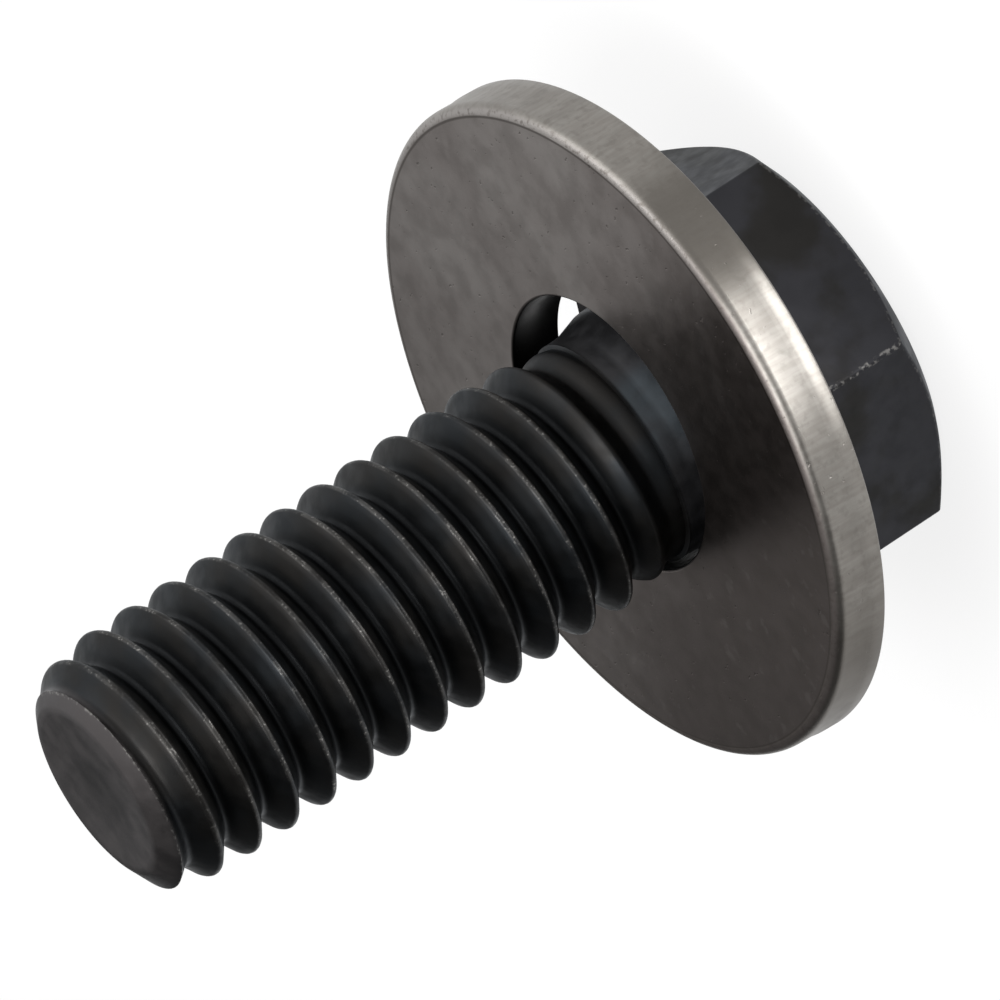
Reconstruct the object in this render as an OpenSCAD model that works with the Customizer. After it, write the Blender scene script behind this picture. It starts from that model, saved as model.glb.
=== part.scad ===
// A coarse-threaded hex head screw standing on its head, with a loose flat washer leaning on it.
// All sizes are in millimetres and all angles in degrees.
// The screw's axis is +Z, the top of its head lies on z = 0 and its tip points up.

/* [Thread] */
// Outside diameter over the thread crests
thread_d = 9.3; // [8.9:0.05:9.5]
// Distance along the axis from one crest to the next
pitch = 1.5875; // [1.25:0.0125:1.75]
// Radial depth from crest to root
thread_depth = 0.88; // [0.6:0.02:0.96]
// Width of the flat along each crest
crest_flat = 0.22; // [0.16:0.02:0.3]
// Height of the rounding on each crest
crest_round = 0.05; // [0.02:0.01:0.08]
// Width of the rounded bottom of each groove
root_flat = 0.34; // [0.26:0.02:0.42]
// Height of the rounding in each root
root_round = 0.09; // [0.04:0.01:0.12]
// Distance from the tip to where the grooves have run out
thread_len = 22.1; // [17:0.1:22.3]
// Length over which the crests sink towards the neck
fade_len = 2.5; // [1.6:0.1:4]
// Length of the sloped end of the last groove
runout_len = 0.3; // [0.2:0.05:0.9]
// Direction around the axis in which a crest reaches the tip
thread_start = 245; // [0:1:360]

/* [Shank] */
// Length from the bearing face to the tip
shank_len = 25.3; // [25:0.1:34]
// Diameter of the plain neck between thread and shoulder
neck_d = 8.6; // [8.3:0.05:8.8]
// Diameter of the shoulder next to the head
shoulder_d = 9.22; // [8.9:0.02:9.6]
// Length of the straight part of the shoulder
shoulder_len = 1.45; // [0.8:0.05:1.6]
// Length of the taper from shoulder to neck
taper_len = 1.1; // [0.6:0.05:1.4]

/* [Tip] */
// Diameter of the flat end
tip_d = 6.6; // [5.6:0.1:7.4]
// Slope of the bevel around the end, measured from the end face
tip_bevel = 31; // [25:1:45]
// Diameter over the low, half-formed crest at the very end
lead_d = 8.3; // [7.8:0.1:8.7]
// Distance from the end at which the crests have their full height
lead_len = 2.3; // [1.6:0.1:3.2]
// Diameter of the shallow dish in the end face
dish_d = 6; // [4:0.1:6.4]
// Depth of that dish
dish_depth = 0.14; // [0.06:0.02:0.3]

/* [Head] */
// Width across the flats
head_af = 13.9; // [13.6:0.05:15]
// Height of the head with its bearing face
head_h = 5.85; // [5:0.05:7]
// Diameter of the flat circle on top of the head
head_top_d = 12.9; // [12:0.1:13.5]
// Slope of the bevel that cuts the corners of the head
head_bevel = 30; // [20:1:35]
// Diameter of the raised round bearing face under the head
bearing_d = 12.2; // [11.5:0.1:13.5]
// Height of that bearing face
bearing_h = 0.4; // [0.2:0.05:0.5]
// Radius of the fillet between shoulder and bearing face
fillet_r = 0.3; // [0.15:0.05:0.45]

/* [Washer] */
// Outside diameter
washer_d = 24.9; // [20:0.1:28]
// Hole diameter
washer_hole = 10.4; // [10.3:0.05:11.2]
// Thickness
washer_t = 2.05; // [1.5:0.05:2.5]
// Radius of the rolled-over outer edge on the tip side
rim_r = 0.4; // [0.2:0.05:0.5]
// Radius on the other outer edge and on both edges of the hole
edge_r = 0.1; // [0.05:0.05:0.2]

/* [Seat] */
// Angle at which the washer leans
washer_lean = 7.5; // [5:0.1:8.5]
// Direction around the axis of the washer's low side
lean_dir = -78; // [-180:1:180]
// Direction in which the washer has slid until its hole meets the shank
slide_dir = -30; // [-180:1:180]
// Gap left between the hole and the shank where they meet
hole_gap = 0.03; // [0.02:0.01:0.1]
// Gap left between the washer's low side and the head
head_gap = 0.3; // [0.05:0.05:0.6]

/* [Hidden] */
// Straight pieces in one turn of the thread
turn_steps = 40;
// Facets used when a true circle has to be drawn as a mesh
$fn = 96;
// Length by which cutting shapes pass the faces they cut
overrun = 1;
// Amount by which the faded thread is sunk below the neck
fade_sink = 0.15;
// Heights of the washer at which its hole is tested against the shank
hole_stations = [0:0.25:1];

// Heights along the axis
hex_h = head_h - bearing_h;
tip_z = head_h + shank_len;
thread_end_z = tip_z - thread_len;
shoulder_z = head_h + shoulder_len;
taper_z = shoulder_z + taper_len;

// Radii of the shank
crest_r = thread_d / 2;
root_r = crest_r - thread_depth;
neck_r = neck_d / 2;
shoulder_r = shoulder_d / 2;
sunk_r = neck_r - fade_sink;
lead_loss = (crest_r - lead_d / 2) / thread_depth;
corner_r = head_af / 2 / cos(30);

// Profile of one pitch, from the middle of a crest to the middle of the next
half_crest = crest_flat / pitch / 2;
half_root = root_flat / pitch / 2;
profile_z = [0, half_crest, 0.5 - half_root, 0.5, 0.5 + half_root, 1 - half_crest];
profile_r = [
    crest_r,
    crest_r - crest_round,
    root_r + root_round,
    root_r,
    root_r + root_round,
    crest_r - crest_round
];
rows_per_turn = len(profile_z);

// The mesh starts inside the neck and passes the tip, so both of its ends are hidden or cut off
crest_at_zero = tip_z - pitch * thread_start / 360;
turns_below = ceil((crest_at_zero - thread_end_z) / pitch + 1.2);
turns_above = ceil(thread_start / 360 + overrun / pitch);
mesh_z = crest_at_zero - turns_below * pitch;
mesh_rows = rows_per_turn * (turns_below + turns_above) + 1;

// Share of the full thread form at height z, from 0 in the neck to 1
function thread_share(z) = max(0, min(1, (z - thread_end_z) / fade_len));

// Share of the full crest height at height z, from 1 down to the low crest at the end
function crest_share(z) = 1 - lead_loss * max(0, min(1, (z - tip_z + lead_len) / lead_len));

// Radius of the thread surface at height z for a full-form radius r
function thread_r(r, z) =
    let (led_r = root_r + (r - root_r) * crest_share(z))
    sunk_r + (led_r - sunk_r) * thread_share(z);

// Height of mesh row k at step i around the turn
function row_z(i, k) =
    mesh_z + pitch * (i / turn_steps + floor(k / rows_per_turn) + profile_z[k % rows_per_turn]);

// Point of the thread surface at step i and row k
function thread_point(i, k) =
    let (a = 360 * i / turn_steps)
    let (z = row_z(i, k))
    let (r = thread_r(profile_r[k % rows_per_turn], z))
    [r * cos(a), r * sin(a), z];

// Number of the point at step i and row k, where a full turn climbs one pitch
function point_id(i, k) =
    i < turn_steps ? i * mesh_rows + k : k + rows_per_turn;

// Largest radius of the shank at height z, crests included
function shank_r(z) =
    z < shoulder_z ? shoulder_r
    : z < taper_z ? shoulder_r + (neck_r - shoulder_r) * (z - shoulder_z) / taper_len
    : max(neck_r, thread_r(crest_r, z));

// Height of the washer's centre when it lies x off the axis to its low side: it would first meet
// the rim of the bearing face or a corner of the hex
function rest_z(x) =
    head_gap
    + max(head_h + (bearing_d / 2 - x) * tan(washer_lean), hex_h + (corner_r - x) * tan(washer_lean));

// At a share t of the thickness: height of the hole's high wall, room left beside the shank,
// and how far the lean has carried the hole's centre
function wall_z(t) =
    rest_z(0) + washer_hole / 2 * sin(washer_lean) * cos(slide_turn) + t * washer_t * cos(washer_lean);
function hole_room(t) = max(0, washer_hole / 2 * cos(washer_lean) - shank_r(wall_z(t)) - hole_gap);
function lean_shift(t) = t * washer_t * sin(washer_lean);

// How far the washer can slide at that share of the thickness
function slide_room(t) =
    sqrt(max(0, pow(hole_room(t), 2) - pow(lean_shift(t) * sin(slide_turn), 2)))
    - lean_shift(t) * cos(slide_turn);

// Place of the washer's centre
slide_turn = slide_dir - lean_dir;
washer_slide = min([for (t = hole_stations) slide_room(t)]);
washer_x = washer_slide * cos(slide_dir);
washer_y = washer_slide * sin(slide_dir);
washer_z = rest_z(washer_slide * cos(slide_turn));

// The helical thread as one closed mesh, with a flat fan at each end
module thread_mesh() {
    side_points = [
        for (i = [0 : turn_steps - 1])
            for (k = [0 : mesh_rows - 1])
                thread_point(i, k)
    ];
    low_centre = len(side_points);
    high_centre = low_centre + 1;
    low_z = mesh_z + pitch / 2;
    high_z = mesh_z + pitch * (turns_below + turns_above + 0.5);
    last = mesh_rows - 1;
    // On the last step the rows join those one turn up, so only rows that exist there are used
    side_faces = [
        for (i = [0 : turn_steps - 1])
            for (k = [0 : last - 1 - (i == turn_steps - 1 ? rows_per_turn : 0)])
                for (half = [0, 1])
                    half == 0
                        ? [point_id(i, k), point_id(i, k + 1), point_id(i + 1, k + 1)]
                        : [point_id(i, k), point_id(i + 1, k + 1), point_id(i + 1, k)]
    ];
    low_fan = [
        for (i = [0 : turn_steps - 2])
            [low_centre, point_id(i, 0), point_id(i + 1, 0)]
    ];
    low_seam = [
        for (k = [0 : rows_per_turn - 1])
            [low_centre, point_id(0, k + 1), point_id(0, k)]
    ];
    low_close = [[low_centre, point_id(turn_steps - 1, 0), point_id(0, rows_per_turn)]];
    high_fan = [
        for (i = [0 : turn_steps - 2])
            [high_centre, point_id(i + 1, last), point_id(i, last)]
    ];
    high_seam = [
        for (k = [last - rows_per_turn : last - 1])
            [high_centre, point_id(turn_steps - 1, k), point_id(turn_steps - 1, k + 1)]
    ];
    high_close = [[high_centre, point_id(0, last), point_id(turn_steps - 1, last - rows_per_turn)]];
    polyhedron(
        points = concat(side_points, [[0, 0, low_z], [0, 0, high_z]]),
        faces = concat(side_faces, low_fan, low_seam, low_close, high_fan, high_seam, high_close),
        convexity = 10
    );
}

// Room that the thread may fill: a bevelled end, and more than enough elsewhere
module tip_envelope() {
    wide_r = crest_r + overrun;
    rotate_extrude()
        polygon([
            [0, head_h - pitch * 3],
            [wide_r, head_h - pitch * 3],
            [wide_r, tip_z - (wide_r - tip_d / 2) * tan(tip_bevel)],
            [tip_d / 2, tip_z],
            [0, tip_z]
        ]);
}

// Ball whose cap is the dish in the end face
module tip_dish() {
    ball_r = (pow(dish_d / 2, 2) + pow(dish_depth, 2)) / (2 * dish_depth);
    translate([0, 0, tip_z + ball_r - dish_depth])
        sphere(r = ball_r);
}

// Shoulder, taper and neck, with the sloped end of the last groove on top
module neck() {
    rotate_extrude()
        polygon([
            [0, hex_h],
            [shoulder_r, hex_h],
            [shoulder_r, shoulder_z],
            [neck_r, taper_z],
            [neck_r, thread_end_z],
            [root_r - fade_sink, thread_end_z + runout_len],
            [0, thread_end_z + runout_len]
        ]);
}

// Concave fillet between shoulder and bearing face
module neck_fillet() {
    rotate_extrude()
        difference() {
            translate([shoulder_r - fillet_r, head_h - fillet_r])
                square([2 * fillet_r, 2 * fillet_r]);
            translate([shoulder_r + fillet_r, head_h + fillet_r])
                circle(r = fillet_r);
        }
}

// Hexagon with its top corners bevelled
module hex_head() {
    bevel_h = (corner_r + overrun - head_top_d / 2) * tan(head_bevel);
    intersection() {
        cylinder(r = corner_r, h = hex_h, $fn = 6);
        rotate_extrude()
            polygon([
                [0, 0],
                [head_top_d / 2, 0],
                [corner_r + overrun, bevel_h],
                [corner_r + overrun, hex_h + overrun],
                [0, hex_h + overrun]
            ]);
    }
}

// Raised round face that bears on the washer
module bearing_face() {
    translate([0, 0, hex_h - fillet_r])
        cylinder(d = bearing_d, h = bearing_h + fillet_r);
}

// Half section of the washer, lying on y = 0 with its tip side up
module washer_section() {
    inner = washer_hole / 2;
    outer = washer_d / 2;
    translate([inner + edge_r, 0])
        square([outer - rim_r - inner - edge_r, washer_t]);
    translate([inner, edge_r])
        square([outer - inner, washer_t - edge_r - rim_r]);
    translate([outer - rim_r - edge_r, 0])
        square([rim_r, rim_r]);
    translate([inner, washer_t - rim_r - edge_r])
        square([rim_r, rim_r]);
    translate([outer - rim_r, washer_t - rim_r])
        circle(r = rim_r);
    translate([outer - edge_r, edge_r])
        circle(r = edge_r);
    translate([inner + edge_r, edge_r])
        circle(r = edge_r);
    translate([inner + edge_r, washer_t - edge_r])
        circle(r = edge_r);
}

module screw() {
    color("dimgray")
        difference() {
            union() {
                intersection() {
                    thread_mesh();
                    tip_envelope();
                }
                neck();
                neck_fillet();
                bearing_face();
                hex_head();
            }
            tip_dish();
        }
}

module washer() {
    color("silver")
        translate([washer_x, washer_y, washer_z])
            rotate([0, 0, lean_dir])
                rotate([0, washer_lean, 0])
                    rotate_extrude()
                        washer_section();
}

screw();
washer();
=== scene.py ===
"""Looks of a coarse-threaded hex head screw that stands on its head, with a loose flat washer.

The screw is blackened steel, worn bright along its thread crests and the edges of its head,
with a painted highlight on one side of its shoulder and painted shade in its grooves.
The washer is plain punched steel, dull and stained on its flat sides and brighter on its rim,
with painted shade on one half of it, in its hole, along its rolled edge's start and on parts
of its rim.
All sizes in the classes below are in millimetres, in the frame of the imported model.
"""

from __future__ import annotations

import logging
import math
from dataclasses import dataclass, fields
from enum import Enum
from typing import Any, Sequence

import bpy
from mathutils import Matrix, Vector

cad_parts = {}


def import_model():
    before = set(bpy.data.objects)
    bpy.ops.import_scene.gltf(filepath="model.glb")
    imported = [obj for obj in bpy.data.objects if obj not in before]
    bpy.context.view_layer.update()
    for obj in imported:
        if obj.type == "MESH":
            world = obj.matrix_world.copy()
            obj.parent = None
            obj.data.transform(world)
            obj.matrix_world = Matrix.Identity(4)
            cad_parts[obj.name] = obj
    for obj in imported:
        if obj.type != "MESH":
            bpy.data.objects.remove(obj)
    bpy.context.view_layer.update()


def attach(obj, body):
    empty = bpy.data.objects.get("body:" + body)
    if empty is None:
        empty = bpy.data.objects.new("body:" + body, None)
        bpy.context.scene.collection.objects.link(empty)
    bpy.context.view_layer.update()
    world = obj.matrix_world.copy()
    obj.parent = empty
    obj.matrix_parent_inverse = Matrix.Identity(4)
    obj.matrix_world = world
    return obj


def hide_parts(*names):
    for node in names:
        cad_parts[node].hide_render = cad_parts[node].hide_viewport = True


LOG = logging.getLogger("hex_head_screw")
MM_IN_METRE = 1000.0
MERGE_DISTANCE = 1e-6
SMOOTH_ANGLE = math.radians(32.0)
HALF_HEX_SIDE = math.radians(30.0)
WHITE = (1.0, 1.0, 1.0, 1.0)

Point = tuple[float, float]
Place = tuple[float, float, float]
Span = tuple[float, ...]
Colour = tuple[float, float, float, float]
Socket = bpy.types.NodeSocket


class Join(Enum):
    """How two solids are combined."""

    UNION = "UNION"
    INTERSECT = "INTERSECT"


class Kind(Enum):
    """Kinds of node: type, inputs that are given in this order, output in use and settings."""

    PLACE = ("ShaderNodeTexCoord", (), "Object", {})
    AROUND = ("ShaderNodeTexCoord", (), "Generated", {})
    FRAME = (
        "ShaderNodeMapping",
        ("Vector", "Location", "Rotation", "Scale"),
        0,
        {"vector_type": "TEXTURE"},
    )
    STRETCH = ("ShaderNodeMapping", ("Vector", "Scale"), 0, {})
    AXES = ("ShaderNodeSeparateXYZ", (0,), 0, {})
    LEVEL = ("ShaderNodeVectorMath", (0, 1), "Vector", {"operation": "MULTIPLY"})
    LENGTH = ("ShaderNodeVectorMath", (0,), "Value", {"operation": "LENGTH"})
    ALONG = ("ShaderNodeVectorMath", (0, 1), "Value", {"operation": "DOT_PRODUCT"})
    PLUS = ("ShaderNodeMath", (0, 1), 0, {"operation": "ADD"})
    MINUS = ("ShaderNodeMath", (0, 1), 0, {"operation": "SUBTRACT"})
    TIMES = ("ShaderNodeMath", (0, 1), 0, {"operation": "MULTIPLY"})
    TIMES_PLUS = ("ShaderNodeMath", (0, 1, 2), 0, {"operation": "MULTIPLY_ADD"})
    LARGER = ("ShaderNodeMath", (0, 1), 0, {"operation": "MAXIMUM"})
    UNSIGNED = ("ShaderNodeMath", (0,), 0, {"operation": "ABSOLUTE"})
    FRACTION = ("ShaderNodeMath", (0,), 0, {"operation": "FRACT"})
    ANGLE = ("ShaderNodeMath", (0, 1), 0, {"operation": "ARCTAN2"})
    RUN = ("ShaderNodeMapRange", (0, 1, 2, 3, 4), 0, {"interpolation_type": "LINEAR"})
    FADE = ("ShaderNodeMapRange", (0, 1, 2, 3, 4), 0, {"interpolation_type": "SMOOTHSTEP"})
    BLEND = ("ShaderNodeMix", (0, 6, 7), 2, {"data_type": "RGBA"})
    GRAIN = ("ShaderNodeTexNoise", ("Vector", "Scale", "Detail"), 0, {})
    RELIEF = ("ShaderNodeBump", ("Height", "Strength", "Distance"), 0, {})
    METAL = (
        "ShaderNodeBsdfPrincipled",
        ("Base Color", "Roughness", "Normal", "Metallic", "Specular Tint"),
        0,
        {},
    )
    PAINT = ("ShaderNodeBsdfDiffuse", ("Color",), 0, {})
    GLOW = ("ShaderNodeEmission", ("Color", "Strength"), 0, {})
    RAY = ("ShaderNodeLightPath", (), 0, {})
    MERGE = ("ShaderNodeMixShader", (0, 1, 2), 0, {})
    SURFACE = ("ShaderNodeOutputMaterial", ("Surface",), 0, {})
    SKY = ("ShaderNodeBackground", ("Color", "Strength"), 0, {})
    WORLD = ("ShaderNodeOutputWorld", ("Surface",), 0, {})

    def __init__(
        self,
        node_type: str,
        inputs: tuple[int | str, ...],
        output: int | str,
        settings: dict[str, str],
    ) -> None:
        """Keeps what all nodes of the kind share.

        Args:
            node_type: Name of the node type.
            inputs: Names or numbers of the inputs that are given.
            output: Name or number of the output in use.
            settings: Values of the node's properties.
        """
        self.node_type = node_type
        self.inputs = inputs
        self.output = output
        self.settings = settings


def mm(value: float) -> float:
    """Turns millimetres into metres."""
    return value / MM_IN_METRE


def linear(hex_colour: str) -> Colour:
    """Turns an sRGB hex colour into linear light.

    Args:
        hex_colour: Six hex digits, such as "1b1b1d".

    Returns:
        Red, green, blue and an alpha of 1.
    """
    values = []
    for start in (0, 2, 4):
        share = int(hex_colour[start : start + 2], 16) / 255.0
        values.append(share / 12.92 if share <= 0.04045 else ((share + 0.055) / 1.055) ** 2.4)
    return (values[0], values[1], values[2], 1.0)


def deselect_all() -> None:
    """Leaves no object selected, so that an operator works on the new one alone."""
    for other in list(bpy.context.selected_objects):
        other.select_set(False)


def make_active(piece: bpy.types.Object) -> None:
    """Selects one object alone and makes it the active one.

    Args:
        piece: The object.
    """
    deselect_all()
    piece.select_set(True)
    bpy.context.view_layer.objects.active = piece


def apply_modifier(piece: bpy.types.Object, modifier: bpy.types.Modifier) -> None:
    """Applies a modifier, so that its result is the piece's own mesh."""
    make_active(piece)
    bpy.ops.object.modifier_apply(modifier=modifier.name)


def clean_mesh(piece: bpy.types.Object) -> None:
    """Merges double points and turns all faces outwards.

    Args:
        piece: The object whose mesh is cleaned.
    """
    make_active(piece)
    bpy.ops.object.mode_set(mode="EDIT")
    bpy.ops.mesh.select_all(action="SELECT")
    bpy.ops.mesh.remove_doubles(threshold=MERGE_DISTANCE)
    bpy.ops.mesh.normals_make_consistent(inside=False)
    bpy.ops.object.mode_set(mode="OBJECT")


def draw_chain(name: str, points: Sequence[Point]) -> bpy.types.Object:
    """Draws a half section as a chain of edges, by extruding one point along it.

    Args:
        name: Name of the new object.
        points: Radius and height of each point.

    Returns:
        The new object, in the plane y = 0.
    """
    deselect_all()
    bpy.ops.mesh.primitive_plane_add(size=mm(1.0), location=(0.0, 0.0, 0.0))
    chain = bpy.context.active_object
    chain.name = name
    bpy.ops.object.mode_set(mode="EDIT")
    bpy.ops.mesh.select_mode(type="VERT")
    bpy.ops.mesh.select_all(action="SELECT")
    bpy.ops.mesh.merge(type="CENTER")
    bpy.ops.transform.translate(value=(mm(points[0][0]), 0.0, mm(points[0][1])))
    for (r0, z0), (r1, z1) in zip(points, points[1:]):
        step = (mm(r1 - r0), 0.0, mm(z1 - z0))
        bpy.ops.mesh.extrude_region_move(TRANSFORM_OT_translate={"value": step})
    bpy.ops.object.mode_set(mode="OBJECT")
    return chain


def turn(chain: bpy.types.Object, steps: int, rise: float = 0.0, turns: int = 1) -> None:
    """Turns a half section round the z axis, as a lathe or a thread does.

    Args:
        chain: The half section.
        steps: Straight pieces in one turn.
        rise: Climb of one turn, or 0 for a closed ring.
        turns: Number of turns.
    """
    lathe = chain.modifiers.new("lathe", "SCREW")
    lathe.axis = "Z"
    lathe.angle = math.tau
    lathe.screw_offset = mm(rise)
    lathe.iterations = turns
    lathe.steps = steps
    lathe.render_steps = steps
    apply_modifier(chain, lathe)
    clean_mesh(chain)


def arc(centre: Point, radius: float, start: float, end: float, pieces: int) -> list[Point]:
    """Gives points along an arc of a half section.

    Args:
        centre: Radius and height of the arc's centre.
        radius: Radius of the arc.
        start: Direction of its first point in degrees, from the +r axis towards +z.
        end: Direction of its last point in degrees.
        pieces: Straight pieces in the arc.

    Returns:
        The points, first and last included.
    """
    points = []
    for index in range(pieces + 1):
        angle = math.radians(start + (end - start) * index / pieces)
        points.append(
            (centre[0] + radius * math.cos(angle), centre[1] + radius * math.sin(angle))
        )
    return points


def combine(piece: bpy.types.Object, tool: bpy.types.Object, join: Join) -> None:
    """Combines two closed solids and removes the second.

    Args:
        piece: The solid that keeps the result.
        tool: The solid that is joined or kept in common.
        join: How they are combined.
    """
    cut = piece.modifiers.new("cut", "BOOLEAN")
    cut.operation = join.value
    cut.solver = "MANIFOLD"
    cut.object = tool
    apply_modifier(piece, cut)
    bpy.data.objects.remove(tool, do_unlink=True)


def round_edges(piece: bpy.types.Object, width: float, angle: float, pieces: int) -> None:
    """Rounds all edges sharper than an angle.

    Args:
        piece: The solid.
        width: Width of the rounding.
        angle: Least angle between the two faces in degrees.
        pieces: Faces across the rounding.
    """
    bevel = piece.modifiers.new("round", "BEVEL")
    bevel.width = mm(width)
    bevel.segments = pieces
    bevel.limit_method = "ANGLE"
    bevel.angle_limit = math.radians(angle)
    bevel.use_clamp_overlap = True
    apply_modifier(piece, bevel)


def smooth(piece: bpy.types.Object) -> None:
    """Shades a piece smoothly up to its sharp edges, with its large faces kept flat.

    Args:
        piece: The finished piece.
    """
    make_active(piece)
    bpy.ops.object.shade_smooth_by_angle(angle=SMOOTH_ANGLE)
    weigh = piece.modifiers.new("weigh", "WEIGHTED_NORMAL")
    weigh.keep_sharp = True
    apply_modifier(piece, weigh)


def add_node(tree: bpy.types.NodeTree, kind: Kind, *inputs: Any) -> Socket | None:
    """Adds a node with its settings and the links into it.

    Args:
        tree: The node tree.
        kind: Kind of the node.
        *inputs: A socket to link or a value to set, for each of the kind's inputs in order.

    Returns:
        The output that the kind is used for, or None where it has none.
    """
    node = tree.nodes.new(kind.node_type)
    for name, setting in kind.settings.items():
        setattr(node, name, setting)
    for key, given in zip(kind.inputs, inputs):
        if isinstance(given, Socket):
            tree.links.new(given, node.inputs[key])
        else:
            node.inputs[key].default_value = given
    return node.outputs[kind.output] if node.outputs else None


def new_material(name: str) -> tuple[bpy.types.Material, bpy.types.NodeTree]:
    """Makes an empty material.

    Args:
        name: Name of the material.

    Returns:
        The material and its node tree.
    """
    material = bpy.data.materials.new(name)
    material.use_nodes = True
    material.node_tree.nodes.clear()
    return material, material.node_tree


@dataclass(frozen=True)
class Grain:
    """A random pattern on a surface.

    width is that of one patch and layers the number of finer layers in it. length is how many
    times longer a patch is along the piece's axis. A mark fades in over span, where it has one:
    the pattern's value at which it starts, the value at which it is full, and its least and most
    strength. The values run from about 0.2 to 0.8.
    """

    width: float
    layers: float
    span: Span = ()
    length: float = 1.0


@dataclass(frozen=True)
class Layer:
    """A tone that covers a share of what lies under it, and the layers that lie on it."""

    share: Socket
    tone: str
    marks: tuple[Layer, ...] = ()


@dataclass(frozen=True)
class Spot:
    """Where a shaded point lies on its piece, in millimetres from its centre."""

    place: Socket
    x: Socket
    y: Socket
    z: Socket
    radius: Socket


@dataclass(frozen=True)
class Finish:
    """What the finishes share: how their patterns, tones and relief become a material.

    A span in a finish gives where a mark starts and where it is full, and where it differs from
    0 and 1 also its least and most strength.
    """

    name: str

    def locate(
        self,
        tree: bpy.types.NodeTree,
        centre: Place = (0.0, 0.0, 0.0),
        turned: Place = (0.0, 0.0, 0.0),
    ) -> Spot:
        """Works out where a shaded point lies on its piece.

        Args:
            tree: The node tree.
            centre: Place of the piece's centre.
            turned: The piece's turn about x, y and z in radians.

        Returns:
            The point's place along the piece's own axes.
        """
        place = add_node(
            tree,
            Kind.FRAME,
            add_node(tree, Kind.PLACE),
            tuple(mm(value) for value in centre),
            turned,
            (mm(1.0), mm(1.0), mm(1.0)),
        )
        axes = add_node(tree, Kind.AXES, place).node.outputs
        radius = add_node(tree, Kind.LENGTH, add_node(tree, Kind.LEVEL, place, (1.0, 1.0, 0.0)))
        return Spot(place, axes[0], axes[1], axes[2], radius)

    def draw_grains(self, tree: bpy.types.NodeTree, place: Socket) -> dict[str, Socket]:
        """Draws every random pattern among the finish's fields.

        Args:
            tree: The node tree.
            place: Place on the piece in millimetres.

        Returns:
            The pattern or the mark of each, by its field's name.
        """
        drawn = {}
        for item in fields(self):
            grain = getattr(self, item.name)
            if not isinstance(grain, Grain):
                continue
            across = 1.0 / grain.width
            scaled = add_node(tree, Kind.STRETCH, place, (across, across, across / grain.length))
            drawn[item.name] = add_node(tree, Kind.GRAIN, scaled, 1.0, grain.layers)
            if grain.span:
                drawn[item.name] = add_node(tree, Kind.FADE, drawn[item.name], *grain.span)
        return drawn

    def paint(
        self, tree: bpy.types.NodeTree, base: str, layers: Sequence[Layer]
    ) -> Socket | Colour:
        """Paints layers over a base tone, each with the layers that lie on it.

        Args:
            tree: The node tree.
            base: The base tone.
            layers: The layers, lowest first.

        Returns:
            The colour.
        """
        colour: Socket | Colour = linear(base)
        for layer in layers:
            tone = self.paint(tree, layer.tone, layer.marks)
            colour = add_node(tree, Kind.BLEND, layer.share, colour, tone)
        return colour

    def make_metal(
        self,
        tree: bpy.types.NodeTree,
        look: tuple[Socket | Colour, Socket],
        height: Socket,
        relief: Point,
        edge_on: Colour = WHITE,
    ) -> None:
        """Makes the metal from its colour, roughness and relief.

        Args:
            tree: The node tree.
            look: Colour and roughness.
            height: Height of the relief.
            relief: Strength of the relief, and its depth where the height is 1.
            edge_on: Tint of what it mirrors when it is seen edge on.
        """
        normal = add_node(tree, Kind.RELIEF, height, relief[0], mm(relief[1]))
        metal = add_node(tree, Kind.METAL, *look, normal, 1.0, edge_on)
        add_node(tree, Kind.SURFACE, metal)


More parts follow.
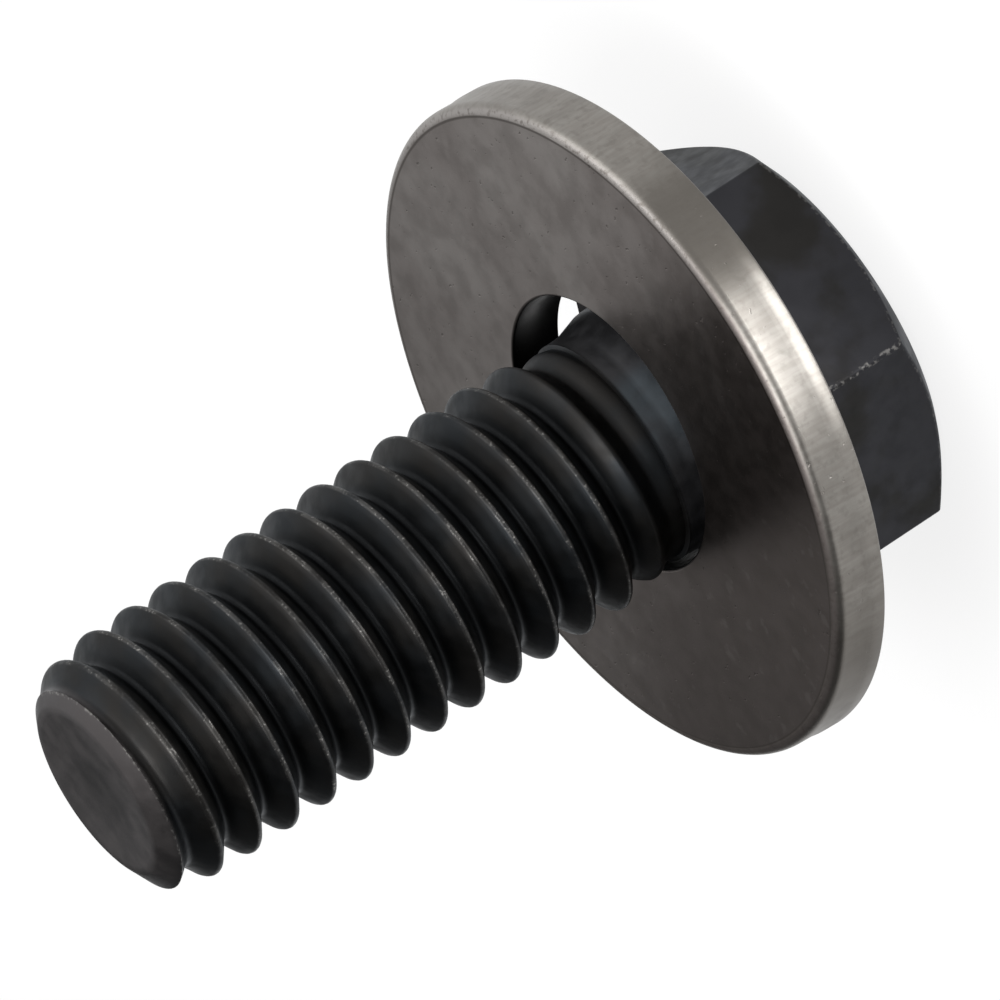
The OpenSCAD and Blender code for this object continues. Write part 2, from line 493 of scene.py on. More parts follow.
@dataclass(frozen=True)
class BlackenedSteel(Finish):
    """Black oxide over plain steel: near black and satin, with a faint cast of blue or brown.

    The oxide is only about a micrometre thick, so it wears through to bright steel along thread
    crests and edges. It is a metal, so its colour is that of its reflections.
    """

    name: str = "black_oxide_steel"
    cool: str = "252729"
    warm: str = "282726"
    # Painted shade deep in the grooves.
    painted_groove_shade: str = "1b1c1d"
    head_tone: str = "363639"
    head_smear: str = "2d2c2b"
    neck_tone: str = "48484a"
    # Painted highlight on one side of the shoulder.
    painted_neck_highlight: str = "51575c"
    tip_tone: str = "5b5858"
    tip_smear: str = "4b4949"
    bevel_tone: str = "514e4e"
    worn: str = "8f8d8a"
    edge_on: str = "f2f4f6"

    # Patches of the oxide's two casts, and of its roughness from 0.41 to 0.54.
    patches: Grain = Grain(3.0, 3.0, (0.35, 0.65))
    sheen: Grain = Grain(0.8, 4.0, (0.3, 0.7, 0.41, 0.54))
    # A painted highlight in patches on one side of the shoulder, and the smudges of handling.
    rub_smears: Grain = Grain(1.2, 4.0, (0.3, 0.6, 0.4, 1.0))
    head_smudges: Grain = Grain(2.6, 4.0, (0.44, 0.64))
    tip_smudges: Grain = Grain(1.8, 4.0)
    # Wear of the crests comes in stretches, with bright specks a tenth of a millimetre wide.
    scuffs: Grain = Grain(0.9, 4.0, (0.38, 0.66, 0.1, 1.0))
    sparks: Grain = Grain(0.11, 2.0, (0.55, 0.7, 0.18, 0.88))
    chips: Grain = Grain(0.16, 3.0, (0.48, 0.66, 0.0, 0.62))
    # The oxide's own grain is micrometres wide. It is drawn at 0.12 mm, the finest that shows.
    skin: Grain = Grain(0.12, 3.0)
    dents: Grain = Grain(1.1, 2.0)
    skin_share: float = 0.25
    relief: Point = (0.22, 0.02)

    # Heights at which the zones meet, and distances from the axis on the tip.
    head_zone: Span = (5.9, 5.8)
    neck_zone: Span = (9.1, 8.95)
    thread_zone: Span = (9.6, 10.4)
    tip_zone: Span = (30.45, 30.85)
    bevel_zone: Span = (3.15, 3.4)
    smudge_zone: Span = (3.5, 1.9)
    smudge_drift: float = 2.4
    # Depths under the crest at which painted shade darkens the groove and the crest is worn.
    groove_depth: Span = (0.5, 0.8)
    crest_depth: Span = (0.06, 0.0)
    # The side of the shoulder with the painted highlight, and the one worn corner of the head.
    neck_highlight_x: Span = (1.4, 0.4)
    neck_highlight_y: Span = (-3.4, -4.2)
    corner_x: Span = (1.0, -1.0)
    corner_y: Span = (-4.0, -5.0)
    corner_radius: Span = (7.945, 7.985)

    # The crest's radius falls between these two heights, from the third to the fourth value.
    crest_fall: Span = (28.85, 31.15, 4.65, 4.15)
    # The flank's radius at the tip, by its share of the pitch from the middle of the groove.
    flank: Span = (0.107, 0.431, 3.77, 4.27)
    pitch: float = 1.5875
    crest_at_zero: float = 30.0696
    tip_z: float = 31.15
    bevel_r: float = 3.3
    bevel_slope: float = 0.601
    flank_edge: Span = (0.13, 0.04)
    bevel_edge: Span = (0.1, 0.02)
    # The head's flats and the slope of its bevel, with the distances at which their edge shows.
    flats_facing: Span = (30.0, 90.0, 150.0)
    top_r: float = 6.45
    top_slope: float = 0.577
    flat_edge: Span = (6.87, 6.92)
    top_edge: Span = (0.13, 0.04, 0.0, 0.45)

    def end_edge(self, tree: bpy.types.NodeTree, spot: Spot) -> Socket:
        """Finds the sharp edge in which the bevelled tip cuts the last turn of the thread.

        Args:
            tree: The node tree.
            spot: Where the point lies.

        Returns:
            A socket that is 1 on the edge and 0 a tenth of a millimetre away from it.
        """
        first_turn = -self.crest_at_zero / self.pitch
        turns = add_node(tree, Kind.TIMES_PLUS, spot.z, 1.0 / self.pitch, first_turn)
        angle = add_node(tree, Kind.ANGLE, spot.y, spot.x)
        unwound = add_node(tree, Kind.TIMES_PLUS, angle, -1.0 / math.tau, turns)
        from_crest = add_node(tree, Kind.FRACTION, unwound)
        from_groove = add_node(tree, Kind.UNSIGNED, add_node(tree, Kind.PLUS, from_crest, -0.5))
        flank_r = add_node(tree, Kind.RUN, from_groove, *self.flank)
        inside = add_node(tree, Kind.MINUS, flank_r, spot.radius)
        below_apex = add_node(tree, Kind.MINUS, self.tip_z + self.bevel_r * self.bevel_slope, spot.z)
        under = add_node(tree, Kind.TIMES_PLUS, spot.radius, -self.bevel_slope, below_apex)
        on_flank = add_node(tree, Kind.FADE, inside, *self.flank_edge)
        on_bevel = add_node(tree, Kind.FADE, under, *self.bevel_edge)
        return add_node(tree, Kind.TIMES, on_flank, on_bevel)

    def head_edge(self, tree: bpy.types.NodeTree, spot: Spot) -> Socket:
        """Finds the curved edges in which the head's bevel cuts its six flats.

        Args:
            tree: The node tree.
            spot: Where the point lies.

        Returns:
            A socket that is highest on the edges and 0 a tenth of a millimetre away from them.
        """
        reach: Socket | float = 0.0
        for facing in self.flats_facing:
            outward = (math.cos(math.radians(facing)), math.sin(math.radians(facing)), 0.0)
            out = add_node(tree, Kind.UNSIGNED, add_node(tree, Kind.ALONG, spot.place, outward))
            reach = add_node(tree, Kind.LARGER, out, reach)
        raised = add_node(tree, Kind.PLUS, spot.z, self.top_r * self.top_slope)
        over = add_node(tree, Kind.TIMES_PLUS, spot.radius, -self.top_slope, raised)
        on_flat = add_node(tree, Kind.FADE, reach, *self.flat_edge)
        on_top = add_node(tree, Kind.FADE, over, *self.top_edge)
        return add_node(tree, Kind.TIMES, on_flat, on_top)

    def crest_gap(self, tree: bpy.types.NodeTree, spot: Spot) -> Socket:
        """Works out how deep a point lies under the crest of its own turn.

        Args:
            tree: The node tree.
            spot: Where the point lies.

        Returns:
            The depth's socket.
        """
        crest = add_node(tree, Kind.RUN, spot.z, *self.crest_fall)
        return add_node(tree, Kind.MINUS, crest, spot.radius)

    def find_wear(
        self, tree: bpy.types.NodeTree, spot: Spot, depth: Socket, grains: dict[str, Socket]
    ) -> Socket:
        """Finds where the oxide is worn off: crests, the tip's edge and edges of the head.

        Args:
            tree: The node tree.
            spot: Where the point lies.
            depth: Depth under the crest.
            grains: The finish's patterns.

        Returns:
            The share of bare steel.
        """
        on_crest = add_node(tree, Kind.FADE, depth, *self.crest_depth)
        on_thread = add_node(tree, Kind.FADE, spot.z, *self.thread_zone)
        crests = add_node(tree, Kind.TIMES, on_crest, on_thread)
        for pattern in (grains["scuffs"], grains["sparks"]):
            crests = add_node(tree, Kind.TIMES, crests, pattern)
        corner = add_node(tree, Kind.FADE, spot.radius, *self.corner_radius)
        for way, zone in ((spot.x, self.corner_x), (spot.y, self.corner_y)):
            corner = add_node(tree, Kind.TIMES, corner, add_node(tree, Kind.FADE, way, *zone))
        edges = add_node(tree, Kind.LARGER, self.end_edge(tree, spot), corner)
        edges = add_node(tree, Kind.LARGER, edges, self.head_edge(tree, spot))
        edges = add_node(tree, Kind.TIMES, edges, grains["chips"])
        return add_node(tree, Kind.LARGER, crests, edges)

    def build(self) -> bpy.types.Material:
        """Makes the material.

        Returns:
            The material.
        """
        material, tree = new_material(self.name)
        spot = self.locate(tree)
        grains = self.draw_grains(tree, spot.place)
        depth = self.crest_gap(tree, spot)
        # Painted shade deep in the grooves.
        in_groove = add_node(tree, Kind.FADE, depth, *self.groove_depth)
        on_neck = add_node(tree, Kind.FADE, spot.z, *self.neck_zone)
        on_head = add_node(tree, Kind.FADE, spot.z, *self.head_zone)
        on_tip = add_node(tree, Kind.FADE, spot.z, *self.tip_zone)
        on_bevel = add_node(tree, Kind.FADE, spot.radius, *self.bevel_zone)
        # Painted highlight in patches on one side of the shoulder and neck.
        rub = grains["rub_smears"]
        for way, zone in ((spot.y, self.neck_highlight_y), (spot.x, self.neck_highlight_x)):
            rub = add_node(tree, Kind.TIMES, rub, add_node(tree, Kind.FADE, way, *zone))
        drifted = add_node(
            tree, Kind.TIMES_PLUS, grains["tip_smudges"], self.smudge_drift, spot.radius
        )
        smudged = add_node(tree, Kind.FADE, drifted, *self.smudge_zone)
        colour = self.paint(
            tree,
            self.cool,
            (
                Layer(grains["patches"], self.warm),
                Layer(in_groove, self.painted_groove_shade),
                Layer(on_neck, self.neck_tone, (Layer(rub, self.painted_neck_highlight),)),
                Layer(on_head, self.head_tone, (Layer(grains["head_smudges"], self.head_smear),)),
                Layer(
                    on_tip,
                    self.tip_tone,
                    (Layer(smudged, self.tip_smear), Layer(on_bevel, self.bevel_tone)),
                ),
                Layer(self.find_wear(tree, spot, depth, grains), self.worn),
            ),
        )
        height = add_node(tree, Kind.TIMES_PLUS, grains["skin"], self.skin_share, grains["dents"])
        self.make_metal(tree, (colour, grains["sheen"]), height, self.relief, linear(self.edge_on))
        return material


@dataclass(frozen=True)
class PunchedSteel(Finish):
    """Plain low-carbon steel as it comes from the press: grey-brown, dull and faintly stained.

    Its flat sides keep the rolled sheet's soft mottling, and its rim has fine marks across it
    where the punch sheared the sheet. The rolled edge is rough with a small burr. Painted shade
    lies on one half of its sides and rolled edge, in its hole, along the rolled edge's start
    and on parts of its rim.
    """

    name: str = "punched_plain_steel"
    pale: str = "938e8b"
    stained: str = "857f7c"
    # Painted shade on one half of the flat sides and of the rolled edge.
    painted_shade_tone: str = "635c59"
    # Dark tone of the real smears, specks and pits, and of the painted shade line where the rolled
    # edge starts.
    dark_dirt_and_shade: str = "4a443f"
    # Painted shade on the hole's wall.
    inside: str = "131211"
    scuffed: str = "a19c99"
    rim: str = "8b8883"
    rim_dull: str = "827e79"
    # Tone of the real smears on the rim and of the rim's painted shade.
    rim_stained: str = "5f5b56"
    rolled: str = "8f8b88"
    rolled_low: str = "6f6a66"

    # The flat sides: mottling of the sheet, smears of oil, specks of dirt and scuffs.
    mottle: Grain = Grain(3.5, 4.0, (0.3, 0.7))
    drift: Grain = Grain(5.0, 2.0)
    smears: Grain = Grain(1.1, 6.0, (0.36, 0.7, 0.0, 0.3))
    specks: Grain = Grain(0.22, 2.0, (0.69, 0.76, 0.0, 0.4))
    scuffs: Grain = Grain(0.8, 5.0, (0.6, 0.7, 0.0, 0.12))
    soft: Grain = Grain(0.7, 4.0)
    # The rim: real shear marks are some 0.05 mm wide and are drawn at 0.16 mm, so that they show.
    shear: Grain = Grain(0.16, 3.0, length=9.0)
    pits: Grain = Grain(0.3, 3.0, (0.5, 0.72, 0.0, 0.2))
    burr: Grain = Grain(0.2, 3.0)

    # One half carries painted shade. Its border drifts by up to 6 mm, and that of the rim's painted
    # shade band by 1.8 mm.
    shaded_side: Span = (7.0, -4.5)
    shaded_roll: Span = (0.5, -4.5, 0.0, 0.8)
    shade_drift: float = 6.0
    rim_drift: float = 1.8
    # Distances from the hole's wall, and from the line at which the rolled edge starts.
    hole_edge: Span = (0.06, 0.0)
    # A painted shade line lies where the rolled edge starts.
    fold_in: Span = (-0.09, -0.03)
    fold_out: Span = (0.06, 0.0, 0.0, 0.7)
    rim_zone: Span = (-0.05, 0.15)
    roll_in: Span = (-0.02, 0.05)
    roll_out: Span = (0.35, 0.2)
    # Two painted shades on the rim: a band across it, and its low end.
    band_from: Span = (-3.4, -1.6)
    band_to: Span = (3.5, 0.8)
    end_x: Span = (5.5, 0.0)
    end_y: Span = (-7.0, -9.0)
    rim_shade_strength: float = 0.85
    shear_tone: Span = (0.3, 0.7)
    burr_tone: Span = (0.3, 0.5)

    # Roughness of the sides, and what the rim and the painted-shade part of the rolled edge add to
    # it.
    roughness: Span = (0.3, 0.7, 0.32, 0.36)
    rim_rough: float = 0.06
    roll_rough: float = 0.12
    # Relief in millimetres. The sides are dished by 0.0025 of the square of their radius.
    dish: float = 0.0025
    speck_depth: float = 0.015
    shear_height: float = 0.0015
    soft_height: float = 0.0004
    burr_height: float = 0.007
    relief: Point = (1.0, 1.0)

    def find_rim_shade(self, tree: bpy.types.NodeTree, spot: Spot, drift: Socket) -> Socket:
        """Finds the two painted shades on the rim.

        Args:
            tree: The node tree.
            spot: Where the point lies.
            drift: Pattern that makes the band's borders uneven.

        Returns:
            The painted shades' strength.
        """
        along = add_node(tree, Kind.TIMES_PLUS, drift, self.rim_drift, spot.y)
        shades = []
        for first, last in (
            ((along, self.band_to), (along, self.band_from)),
            ((spot.x, self.end_x), (spot.y, self.end_y)),
        ):
            start = add_node(tree, Kind.FADE, first[0], *first[1])
            end = add_node(tree, Kind.FADE, last[0], *last[1])
            shades.append(add_node(tree, Kind.TIMES, start, end))
        either = add_node(tree, Kind.LARGER, *shades)
        return add_node(tree, Kind.TIMES, either, self.rim_shade_strength)

    def build(self, centre: Place, turned: Place, hole_r: float, rim_r: float) -> bpy.types.Material:
        """Makes the material.

        Args:
            centre: Place of the washer's centre.
            turned: The washer's turn about x, y and z in radians.
            hole_r: Radius of the hole.
            rim_r: Radius at which the rolled edge starts.

        Returns:
            The material.
        """
        material, tree = new_material(self.name)
        spot = self.locate(tree, centre, turned)
        grains = self.draw_grains(tree, spot.place)
        past_hole = add_node(tree, Kind.MINUS, spot.radius, hole_r)
        past_rim = add_node(tree, Kind.MINUS, spot.radius, rim_r)
        # Painted shade on one half of the sides, and on the same half of the rolled edge.
        drifted = add_node(tree, Kind.TIMES_PLUS, grains["drift"], self.shade_drift, spot.y)
        shaded_side = add_node(tree, Kind.FADE, drifted, *self.shaded_side)
        shaded_roll = add_node(tree, Kind.FADE, spot.y, *self.shaded_roll)
        # Painted shade on the hole's wall.
        hole_wall_shade = add_node(tree, Kind.FADE, past_hole, *self.hole_edge)
        # Painted shade line where the rolled edge starts.
        fold_in = add_node(tree, Kind.FADE, past_rim, *self.fold_in)
        fold_out = add_node(tree, Kind.FADE, past_rim, *self.fold_out)
        fold_shade = add_node(tree, Kind.TIMES, fold_in, fold_out)
        on_rim = add_node(tree, Kind.FADE, past_rim, *self.rim_zone)
        roll_in = add_node(tree, Kind.FADE, past_rim, *self.roll_in)
        roll_out = add_node(tree, Kind.FADE, past_rim, *self.roll_out)
        on_roll = add_node(tree, Kind.TIMES, roll_in, roll_out)
        rim_marks = (
            Layer(add_node(tree, Kind.FADE, grains["shear"], *self.shear_tone), self.rim_dull),
            Layer(grains["pits"], self.dark_dirt_and_shade),
            Layer(grains["smears"], self.rim_stained),
            # Painted shade on the rim: a band across it and its low end.
            Layer(self.find_rim_shade(tree, spot, grains["drift"]), self.rim_stained),
            Layer(
                on_roll,
                self.rolled_low,
                (
                    Layer(add_node(tree, Kind.FADE, grains["burr"], *self.burr_tone), self.rolled),
                    Layer(shaded_roll, self.painted_shade_tone),
                ),
            ),
        )
        colour = self.paint(
            tree,
            self.pale,
            (
                Layer(grains["mottle"], self.stained),
                Layer(shaded_side, self.painted_shade_tone),
                Layer(grains["smears"], self.dark_dirt_and_shade),
                Layer(grains["specks"], self.dark_dirt_and_shade),
                Layer(grains["scuffs"], self.scuffed),
                Layer(fold_shade, self.dark_dirt_and_shade),
                Layer(hole_wall_shade, self.inside),
                Layer(on_rim, self.rim, rim_marks),
            ),
        )
        rough = add_node(tree, Kind.FADE, grains["soft"], *self.roughness)
        rough = add_node(tree, Kind.TIMES_PLUS, on_rim, self.rim_rough, rough)
        shade_on_roll = add_node(tree, Kind.TIMES, on_roll, shaded_roll)
        rough = add_node(tree, Kind.TIMES_PLUS, shade_on_roll, self.roll_rough, rough)
        height: Socket | float = 0.0
        for form, rise in (
            (add_node(tree, Kind.TIMES, spot.radius, spot.radius), -self.dish),
            (grains["specks"], -self.speck_depth),
            (add_node(tree, Kind.TIMES, grains["shear"], on_rim), self.shear_height),
            (grains["soft"], self.soft_height),
            (add_node(tree, Kind.TIMES, grains["burr"], on_roll), self.burr_height),
        ):
            height = add_node(tree, Kind.TIMES_PLUS, form, rise, height)
        self.make_metal(tree, (colour, rough), height, self.relief)
        return material


@dataclass
class Screw:
    """The screw: hex head, plain shoulder and neck, and a helical thread up to a bevelled tip."""

    thread_d: float = 9.3
    pitch: float = 1.5875
    thread_depth: float = 0.88
    crest_flat: float = 0.22
    crest_round: float = 0.05
    root_flat: float = 0.34
    root_round: float = 0.09
    # Rounding of crest and root: share of the half flat's width, and of the rounding's depth.
    crest_curve: tuple[Point, ...] = ((0.0, 0.0), (0.55, 0.3), (1.0, 1.0))
    root_curve: tuple[Point, ...] = ((1.0, 0.0), (0.7, 0.5), (0.35, 0.88), (0.0, 1.0))
    flank_stops: Span = (0.25, 0.5, 0.75)
    thread_len: float = 22.1
    fade_len: float = 2.5
    fade_sink: float = 0.15
    runout_len: float = 0.3
    thread_start: float = 245.0
    spare_turns: float = 1.2
    spare_pitches: int = 3
    shank_len: float = 25.3
    neck_d: float = 8.6
    shoulder_d: float = 9.22
    shoulder_len: float = 1.45
    taper_len: float = 1.1
    taper_soft_r: float = 0.02
    taper_soft_out: float = 0.15
    taper_soft_in: float = 0.1
    tip_d: float = 6.6
    tip_bevel: float = 31.0
    # The tip's rounded edge: two points, out from and up from its sharp corner.
    tip_edge: tuple[Point, Point] = ((0.08, -0.05), (-0.04, 0.0))
    lead_d: float = 8.3
    lead_len: float = 2.3
    dish_d: float = 6.0
    dish_depth: float = 0.14
    dish_stops: Span = (1.0, 0.75, 0.5, 0.25, 0.0)
    head_af: float = 13.9
    head_h: float = 5.85
    head_top_d: float = 12.9
    head_bevel: float = 30.0
    head_edge_w: float = 0.1
    head_edge_angle: float = 20.0
    head_edge_faces: int = 3
    bearing_d: float = 12.2
    bearing_h: float = 0.4
    bearing_edge: float = 0.06
    fillet_r: float = 0.3
    fillet_faces: int = 6
    sunk_len: float = 0.6
    spare: float = 1.0
    steps: int = 96
    finish: BlackenedSteel = BlackenedSteel()

    @property
    def hex_h(self) -> float:
        """Height of the hexagon without the bearing face."""
        return self.head_h - self.bearing_h

    @property
    def tip_z(self) -> float:
        """Height of the tip."""
        return self.head_h + self.shank_len

    @property
    def thread_end_z(self) -> float:
        """Height at which the grooves have run out."""
        return self.tip_z - self.thread_len

    @property
    def root_r(self) -> float:
        """Radius at the bottom of the grooves."""
        return self.thread_d / 2 - self.thread_depth

    def groove(self) -> list[Point]:
        """Gives one pitch of the thread's half section, from crest to crest, as fractions.

        Returns:
            Share of the pitch and depth below the crest of each point.
        """
        crest = self.crest_flat / self.pitch / 2
        root = self.root_flat / self.pitch / 2
        straight = self.thread_depth - self.root_round
        half = [(crest * width, self.crest_round * depth) for width, depth in self.crest_curve]
        for share in self.flank_stops:
            across = crest + (0.5 - root - crest) * share
            half.append((across, self.crest_round + (straight - self.crest_round) * share))
        for width, depth in self.root_curve:
            half.append((0.5 - root * width, straight + self.root_round * depth))
        return half + [(1.0 - share, depth) for share, depth in half[-2::-1]]

    def build_thread(self) -> bpy.types.Object:
        """Turns the groove's section up the shank, and sinks its lower end into the neck.

        Returns:
            The thread as a closed solid that passes the tip.
        """
        crest_r = self.thread_d / 2
        started = self.thread_start / 360.0
        crest_at_zero = self.tip_z - self.pitch * started
        below = math.ceil((crest_at_zero - self.thread_end_z) / self.pitch + self.spare_turns)
        above = math.ceil(started + self.spare / self.pitch)
        start_z = crest_at_zero - below * self.pitch
        section = [
            (crest_r - depth, start_z + share * self.pitch) for share, depth in self.groove()
        ]
        thread = draw_chain("hex_head_screw", section)
        turn(thread, self.steps, self.pitch, below + above)
        self.close_ends(thread)
        sunk_r = self.neck_d / 2 - self.fade_sink
        lead_loss = (crest_r - self.lead_d / 2) / self.thread_depth
        for vertex in thread.data.vertices:
            radius = math.hypot(vertex.co.x, vertex.co.y) * MM_IN_METRE
            if radius < self.root_r / 2:
                continue
            height = vertex.co.z * MM_IN_METRE
            lead = max(0.0, min(1.0, (height - self.tip_z + self.lead_len) / self.lead_len))
            share = max(0.0, min(1.0, (height - self.thread_end_z) / self.fade_len))
            led_r = self.root_r + (radius - self.root_r) * (1.0 - lead_loss * lead)
            scale = (sunk_r + (led_r - sunk_r) * share) / radius
            vertex.co.x *= scale
            vertex.co.y *= scale
        return thread

    def close_ends(self, thread: bpy.types.Object) -> None:
        """Closes both open ends of the turned thread with a fan to a middle point.

        Args:
            thread: The open thread.
        """
        make_active(thread)
        middle = sum(vertex.co.z for vertex in thread.data.vertices) / len(thread.data.vertices)
        for upper in (False, True):
            bpy.ops.object.mode_set(mode="EDIT")
            bpy.ops.mesh.select_mode(type="EDGE")
            bpy.ops.mesh.select_all(action="DESELECT")
            bpy.ops.mesh.select_non_manifold()
            bpy.ops.object.mode_set(mode="OBJECT")
            points = thread.data.vertices
            for edge in thread.data.edges:
                if (points[edge.vertices[0]].co.z > middle) != upper:
                    edge.select = False
            for vertex in points:
                if (vertex.co.z > middle) != upper:
                    vertex.select = False
            bpy.ops.object.mode_set(mode="EDIT")
            bpy.ops.mesh.extrude_region_move()
            bpy.ops.mesh.merge(type="CENTER")
            bpy.ops.mesh.select_all(action="SELECT")
            bpy.ops.mesh.normals_make_consistent(inside=False)
            bpy.ops.object.mode_set(mode="OBJECT")

    def build_tip_room(self) -> bpy.types.Object:
        """Turns the room that the thread may fill, with the bevelled end and its dish.

        Returns:
            The room as a closed solid.
        """
        tip_r, dish_r = self.tip_d / 2, self.dish_d / 2
        wide_r = self.thread_d / 2 + self.spare
        bevel_len = (wide_r - tip_r) * math.tan(math.radians(self.tip_bevel))
        ball_r = (dish_r**2 + self.dish_depth**2) / (2 * self.dish_depth)
        ball_z = self.tip_z + ball_r - self.dish_depth
        low_z = self.head_h - self.spare_pitches * self.pitch
        section = [(0.0, low_z), (wide_r, low_z), (wide_r, self.tip_z - bevel_len)]
        for out, up in self.tip_edge:
            section.append((tip_r + out, self.tip_z + up))
        for share in self.dish_stops:
            radius = dish_r * share
            section.append((radius, ball_z - math.sqrt(ball_r**2 - radius**2)))
        room = draw_chain("tip_room", section)
        turn(room, self.steps)
        return room

    def build_neck(self) -> bpy.types.Object:
        """Turns the bearing face, fillet, shoulder, taper and neck.

        Returns:
            The neck as a closed solid that reaches into the head.
        """
        shoulder_r, neck_r, bearing_r = self.shoulder_d / 2, self.neck_d / 2, self.bearing_d / 2
        sunk_z = self.hex_h - self.sunk_len
        taper_z = self.head_h + self.shoulder_len
        neck_z = taper_z + self.taper_len
        runout_z = self.thread_end_z + self.runout_len
        fillet_centre = (shoulder_r + self.fillet_r, self.head_h + self.fillet_r)
        section = [
            (0.0, sunk_z),
            (bearing_r, sunk_z),
            (bearing_r, self.head_h - self.bearing_edge),
            (bearing_r - self.bearing_edge, self.head_h),
            *arc(fillet_centre, self.fillet_r, 270, 180, self.fillet_faces),
            (shoulder_r, taper_z - self.taper_soft_out),
            (shoulder_r - self.taper_soft_r, taper_z + self.taper_soft_in),
            (neck_r + self.taper_soft_r, neck_z - self.taper_soft_in),
            (neck_r, neck_z + self.taper_soft_out),
            (neck_r, self.thread_end_z),
            (self.root_r - self.fade_sink, runout_z),
            (0.0, runout_z),
        ]
        neck = draw_chain("neck", section)
        turn(neck, self.steps)
        return neck

    def build_head(self) -> bpy.types.Object:
        """Makes the hexagon, turns its bevelled corners and rounds its edges.

        Returns:
            The head as a closed solid.
        """
        corner_r = self.head_af / 2 / math.cos(HALF_HEX_SIDE)
        top_r = self.head_top_d / 2
        wide_r = corner_r + self.spare
        deselect_all()
        bpy.ops.mesh.primitive_cylinder_add(
            vertices=6,
            radius=mm(corner_r),
            depth=mm(self.hex_h),
            location=(0.0, 0.0, mm(self.hex_h / 2)),
            rotation=(0.0, 0.0, HALF_HEX_SIDE),
        )
        head = bpy.context.active_object
        head.name = "head"
        bpy.ops.object.transform_apply(location=True, rotation=True, scale=True)
        section = [
            (0.0, 0.0),
            (top_r, 0.0),
            (wide_r, (wide_r - top_r) * math.tan(math.radians(self.head_bevel))),
            (wide_r, self.hex_h + self.spare),
            (0.0, self.hex_h + self.spare),
        ]
        room = draw_chain("head_room", section)
        turn(room, 2 * self.steps)
        combine(head, room, Join.INTERSECT)
        clean_mesh(head)
        round_edges(head, self.head_edge_w, self.head_edge_angle, self.head_edge_faces)
        return head

    def build(self) -> bpy.types.Object:
        """Builds the whole screw as one closed solid and dresses it.

        Returns:
            The finished piece.
        """
        screw = self.build_thread()
        combine(screw, self.build_tip_room(), Join.INTERSECT)
        combine(screw, self.build_neck(), Join.UNION)
        combine(screw, self.build_head(), Join.UNION)
        clean_mesh(screw)
        smooth(screw)
        screw.data.materials.clear()
        screw.data.materials.append(self.finish.build())
        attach(screw, "root")
        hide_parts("screw")
        return screw


@dataclass
class Washer:
    """The loose washer: a punched ring, rolled over on one side and leaning on the shank.

    Its rim steps in by shear_step between two shares of its thickness, where the punch's cut
    turned into a break.
    """

    outer_d: float = 24.9
    hole_d: float = 10.4
    thick: float = 2.05
    rim_r: float = 0.4
    rim_faces: int = 8
    edge_r: float = 0.1
    edge_faces: int = 3
    lean: float = 7.5
    lean_dir: float = -78.0
    centre: Place = (0.4726, -0.2729, 6.9050)
    shear_step: float = 0.04
    shear_from: float = 0.3
    shear_to: float = 0.36
    steps: int = 256
    finish: PunchedSteel = PunchedSteel()

    def build(self) -> bpy.types.Object:
        """Turns the ring's section, lays it in its leaning place and dresses it.

        Returns:
            The finished piece.
        """
        inner, outer, thick = self.hole_d / 2, self.outer_d / 2, self.thick
        edge, rim = self.edge_r, self.rim_r
        front_outer = outer - self.shear_step
        section = [
            *arc((inner + edge, edge), edge, 180, 270, self.edge_faces),
            *arc((outer - edge, edge), edge, 270, 360, self.edge_faces),
            (outer, thick * self.shear_from),
            (front_outer, thick * self.shear_to),
            *arc((front_outer - rim, thick - rim), rim, 0, 90, self.rim_faces),
            *arc((inner + edge, thick - edge), edge, 90, 180, self.edge_faces),
            (inner, edge),
        ]
        washer = draw_chain("flat_washer", section)
        turn(washer, self.steps)
        turned = (0.0, math.radians(self.lean), math.radians(self.lean_dir))
        washer.matrix_world = (
            Matrix.Translation(Vector([mm(value) for value in self.centre]))
            @ Matrix.Rotation(turned[2], 4, "Z")
            @ Matrix.Rotation(turned[1], 4, "Y")
        )
        make_active(washer)
        bpy.ops.object.transform_apply(location=True, rotation=True, scale=True)
        smooth(washer)
        washer.data.materials.clear()
        washer.data.materials.append(self.finish.build(self.centre, turned, inner, front_outer - rim))
        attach(washer, "root")
        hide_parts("washer")
        return washer


@dataclass(frozen=True)
class Lamp:
    """A soft square lamp, hung at an azimuth, elevation and distance, that faces the object."""

    name: str
    azimuth: float
    elevation: float
    distance: float
    size: float
    power: float

    def build(self, target: Vector) -> bpy.types.Object:
        """Hangs the lamp.

        Args:
            target: The point that it faces, in metres.

        Returns:
            The lamp.
        """
        light = bpy.data.lights.new(self.name, "AREA")
        light.shape = "SQUARE"
        light.size = mm(self.size)
        light.energy = self.power
        lamp = bpy.data.objects.new(self.name, light)
        bpy.context.scene.collection.objects.link(lamp)
        across = math.cos(math.radians(self.elevation))
        direction = Vector(
            (
                across * math.cos(math.radians(self.azimuth)),
                across * math.sin(math.radians(self.azimuth)),
                math.sin(math.radians(self.elevation)),
            )
        )
        lamp.location = target + direction * mm(self.distance)
        lamp.rotation_euler = direction.to_track_quat("Z", "Y").to_euler()
        return lamp


@dataclass(frozen=True)
class Card:
    """A small glowing card that lies on the floor, faces up and lights the washer's rim."""

    size: Point = (12.0, 10.0)
    place: Place = (-6.5, -21.5, 0.5)
    turned: float = -15.0
    power: float = 0.0029

    def build(self) -> bpy.types.Object:
        """Lays the card.

        Returns:
            The card's lamp.
        """
        light = bpy.data.lights.new("card_lamp", "AREA")
        light.shape = "RECTANGLE"
        light.size = mm(self.size[0])
        light.size_y = mm(self.size[1])
        light.energy = self.power
        card = bpy.data.objects.new("card_lamp", light)
        bpy.context.scene.collection.objects.link(card)
        card.location = Vector([mm(value) for value in self.place])
        card.rotation_euler = (math.pi, 0.0, math.radians(self.turned))
        return card


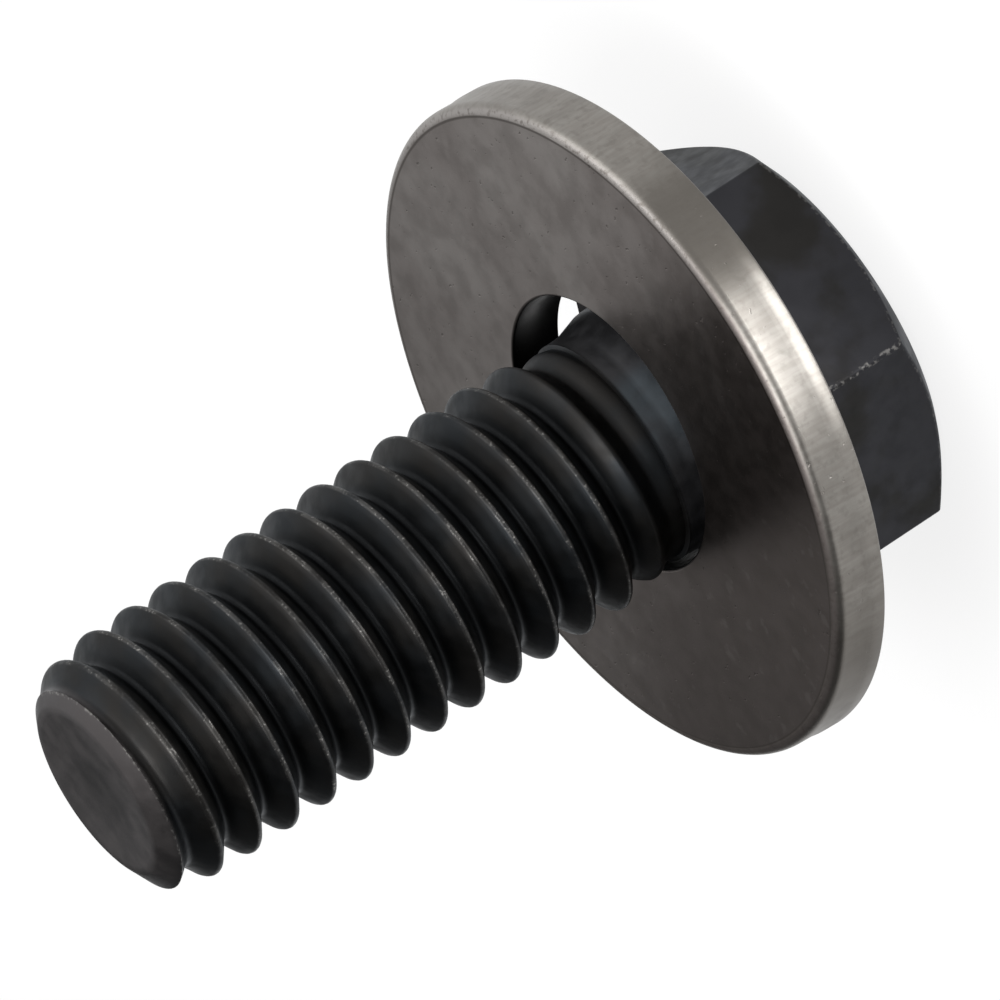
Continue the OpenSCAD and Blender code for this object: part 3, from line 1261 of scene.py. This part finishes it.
@dataclass
class Studio:
    """The pale floor, the even white surroundings, the soft lamps and the camera.

    The room's light falls from 1 to dim_side away from light_from. The camera stands far away
    with a long lens, because the photograph's lines hardly converge, and offset is how far the
    target lies to the right of and above the picture's middle.
    """

    floor_size: float = 3000.0
    floor_drop: float = 0.02
    floor_tone: str = "f4f4f4"
    floor_glow: float = 0.85
    light_from: Place = (0.879, -0.429, 0.208)
    light_fade: Span = (-0.2, 0.35)
    dim_side: float = 0.1
    card: Card = Card()
    lamps: tuple[Lamp, ...] = (
        Lamp("side_lamp", azimuth=-24.0, elevation=37.0, distance=300.0, size=230.0, power=0.34),
        Lamp("front_lamp", azimuth=-110.0, elevation=52.0, distance=400.0, size=250.0, power=1.6),
    )
    target: Place = (0.0, 0.0, 16.1)
    camera_right: Place = (-0.597652608, -0.140494783, -0.789349464)
    camera_up: Place = (0.770590899, -0.372482597, -0.517152184)
    camera_back: Place = (-0.221361754, -0.917342865, 0.330879197)
    offset: Point = (-1.7445, -2.0460)
    distance: float = 776.12
    sensor: float = 36.0
    focal_share: float = 22.843
    sight: float = 20000.0

    def build_floor(self) -> bpy.types.Object:
        """Lays the floor just under the head. It looks white and keeps the object's shadow.

        Returns:
            The floor.
        """
        deselect_all()
        bpy.ops.mesh.primitive_plane_add(
            size=mm(self.floor_size), location=(0.0, 0.0, -mm(self.floor_drop))
        )
        floor = bpy.context.active_object
        floor.name = "floor"
        material, tree = new_material("pale_floor")
        rays = add_node(tree, Kind.RAY).node.outputs
        seen = rays["Is Camera Ray"]
        for ray in ("Is Glossy Ray", "Is Transmission Ray"):
            seen = add_node(tree, Kind.LARGER, seen, rays[ray])
        share = add_node(tree, Kind.TIMES, seen, self.floor_glow)
        soft = add_node(tree, Kind.PAINT, linear(self.floor_tone))
        bright = add_node(tree, Kind.GLOW, WHITE, 1.0)
        add_node(tree, Kind.SURFACE, add_node(tree, Kind.MERGE, share, soft, bright))
        floor.data.materials.append(material)
        return floor

    def build_world(self) -> None:
        """Surrounds the scene with soft white light that is brighter on one side."""
        world = bpy.data.worlds.new("white_room")
        world.use_nodes = True
        tree = world.node_tree
        tree.nodes.clear()
        facing = add_node(tree, Kind.ALONG, add_node(tree, Kind.AROUND), self.light_from)
        level = add_node(tree, Kind.FADE, facing, *self.light_fade, self.dim_side, 1.0)
        add_node(tree, Kind.WORLD, add_node(tree, Kind.SKY, WHITE, level))
        bpy.context.scene.world = world

    def build_camera(self) -> bpy.types.Object:
        """Sets the camera at the photograph's place and angle.

        Returns:
            The camera.
        """
        right, up, back = Vector(self.camera_right), Vector(self.camera_up), Vector(self.camera_back)
        place = (
            Vector(self.target)
            - right * self.offset[0]
            - up * self.offset[1]
            + back * self.distance
        )
        data = bpy.data.cameras.new("camera")
        data.sensor_width = self.sensor
        data.sensor_height = self.sensor
        data.lens = self.focal_share * self.sensor
        data.clip_end = mm(self.sight)
        camera = bpy.data.objects.new("camera", data)
        bpy.context.scene.collection.objects.link(camera)
        turned = Matrix((right, up, back)).transposed().to_4x4()
        camera.matrix_world = Matrix.Translation(place / MM_IN_METRE) @ turned
        bpy.context.scene.camera = camera
        return camera

    def build(self) -> None:
        """Builds the surroundings."""
        self.build_floor()
        self.card.build()
        self.build_world()
        self.build_camera()
        middle = Vector(self.target) / MM_IN_METRE
        for lamp in self.lamps:
            lamp.build(middle)
        bpy.context.scene.view_settings.view_transform = "Standard"


def report(piece: bpy.types.Object) -> None:
    """Logs one finished piece."""
    LOG.info("%s: %d faces", piece.name, len(piece.data.polygons))


def main() -> None:
    """Builds the object and its surroundings."""
    logging.basicConfig(level=logging.INFO, format="%(name)s: %(message)s")
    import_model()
    report(Screw().build())
    report(Washer().build())
    Studio().build()


if __name__ == "__main__":
    main()
